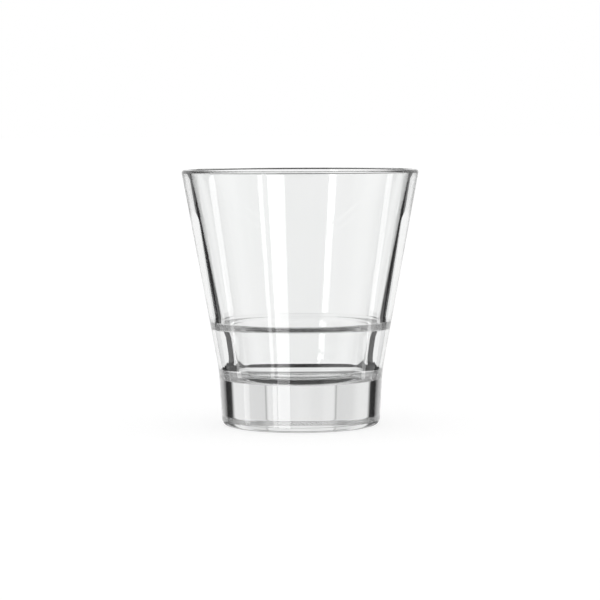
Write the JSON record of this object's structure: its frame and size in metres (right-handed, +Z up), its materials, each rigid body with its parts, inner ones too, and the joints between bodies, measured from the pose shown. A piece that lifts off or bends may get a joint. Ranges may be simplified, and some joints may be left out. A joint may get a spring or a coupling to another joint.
{
  "type": "double old fashioned glass",
  "caption": "Heavy-bottomed clear drinking tumbler with a flared wall, a stacking ledge inside and a narrower well over a thick solid base.",
  "frame": {"origin": "middle of the ring that the glass stands on", "axes": "+Z up along the axis of the glass; the glass is round, so X and Y are alike, and -Y faces the picture's camera"},
  "size_m": [0.098, 0.098, 0.1059],
  "materials": {
    "clear_glass": "fire-polished clear soda-lime glass"
  },
  "bodies": {
    "root": {"tumbler": "clear_glass"}
  },
  "joints": []
}
